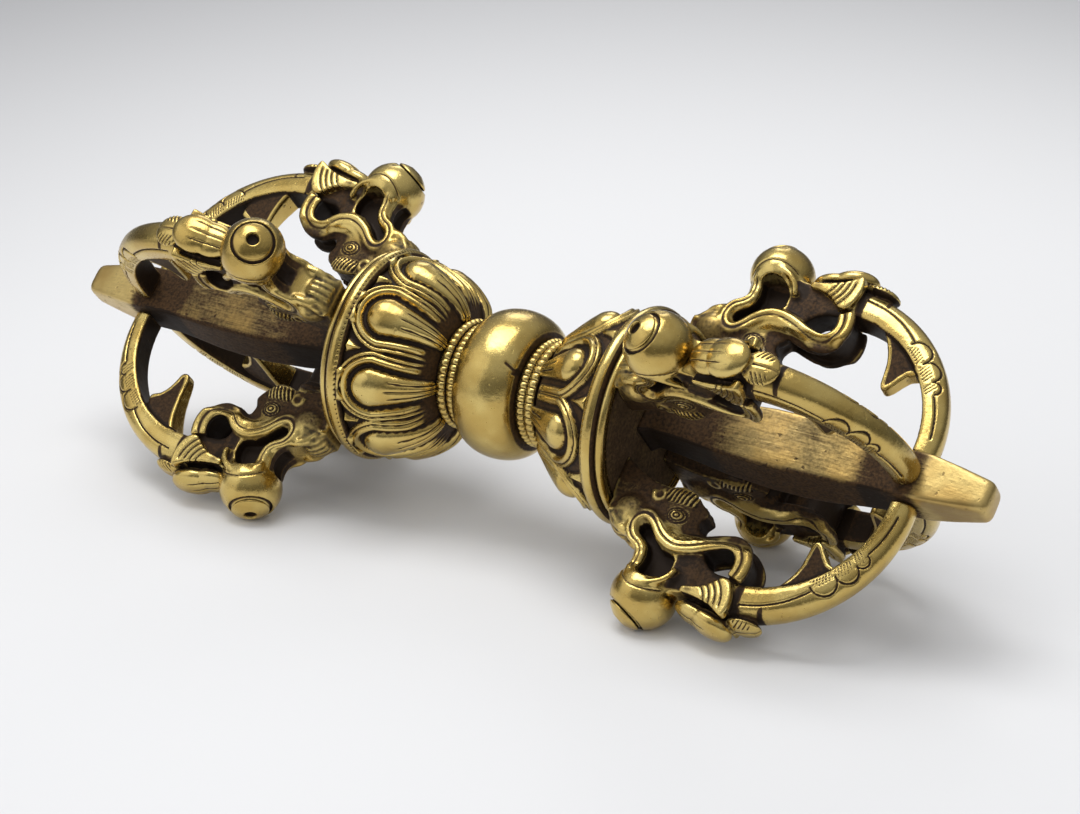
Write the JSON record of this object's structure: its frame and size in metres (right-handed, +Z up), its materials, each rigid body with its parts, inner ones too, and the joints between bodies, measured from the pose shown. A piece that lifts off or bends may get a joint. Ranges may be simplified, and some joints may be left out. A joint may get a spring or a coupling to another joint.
{
  "type": "dorje vajra",
  "caption": "Hand-held brass ritual sceptre: a globe grip between lotus hubs, each end a cage of curved prongs issuing from makara mouths around a square axial prong.",
  "frame": {"origin": "centre of the grip globe, which is the centre of the whole", "axes": "+X along the vajra to its right end in the picture, -Y towards the viewer, +Z up as it lies on the snout balls of its lower makaras"},
  "size_m": [0.1604, 0.0484, 0.0484],
  "materials": {
    "polished_brass": "polished, dark patina in the recesses",
    "aged_brass": "satin, worn",
    "dark_brass": "matt patina",
    "iron_core": "raw"
  },
  "bodies": {
    "root": {"core_rod": "iron_core", "grip_globe": "polished_brass", "bead_ring_left_inner": "aged_brass", "bead_ring_left_outer": "aged_brass", "bead_ring_right_inner": "aged_brass", "bead_ring_right_outer": "aged_brass", "lotus_hub_left": "polished_brass", "lotus_hub_right": "polished_brass", "moon_disc_left": "dark_brass", "moon_disc_right": "dark_brass", "axial_prong_left": "aged_brass", "axial_prong_right": "aged_brass", "makara_left_1": "polished_brass", "makara_left_2": "polished_brass", "makara_left_3": "polished_brass", "makara_left_4": "polished_brass", "makara_right_1": "polished_brass", "makara_right_2": "polished_brass", "makara_right_3": "polished_brass", "makara_right_4": "polished_brass", "curved_prong_left_1": "polished_brass", "curved_prong_left_2": "polished_brass", "curved_prong_left_3": "polished_brass", "curved_prong_left_4": "polished_brass", "curved_prong_right_1": "polished_brass", "curved_prong_right_2": "polished_brass", "curved_prong_right_3": "polished_brass", "curved_prong_right_4": "polished_brass", "jewel_stud_left_1": "polished_brass", "jewel_stud_left_2": "polished_brass", "jewel_stud_left_3": "polished_brass", "jewel_stud_left_4": "polished_brass", "jewel_stud_right_1": "polished_brass", "jewel_stud_right_2": "polished_brass", "jewel_stud_right_3": "polished_brass", "jewel_stud_right_4": "polished_brass"}
  },
  "joints": []
}
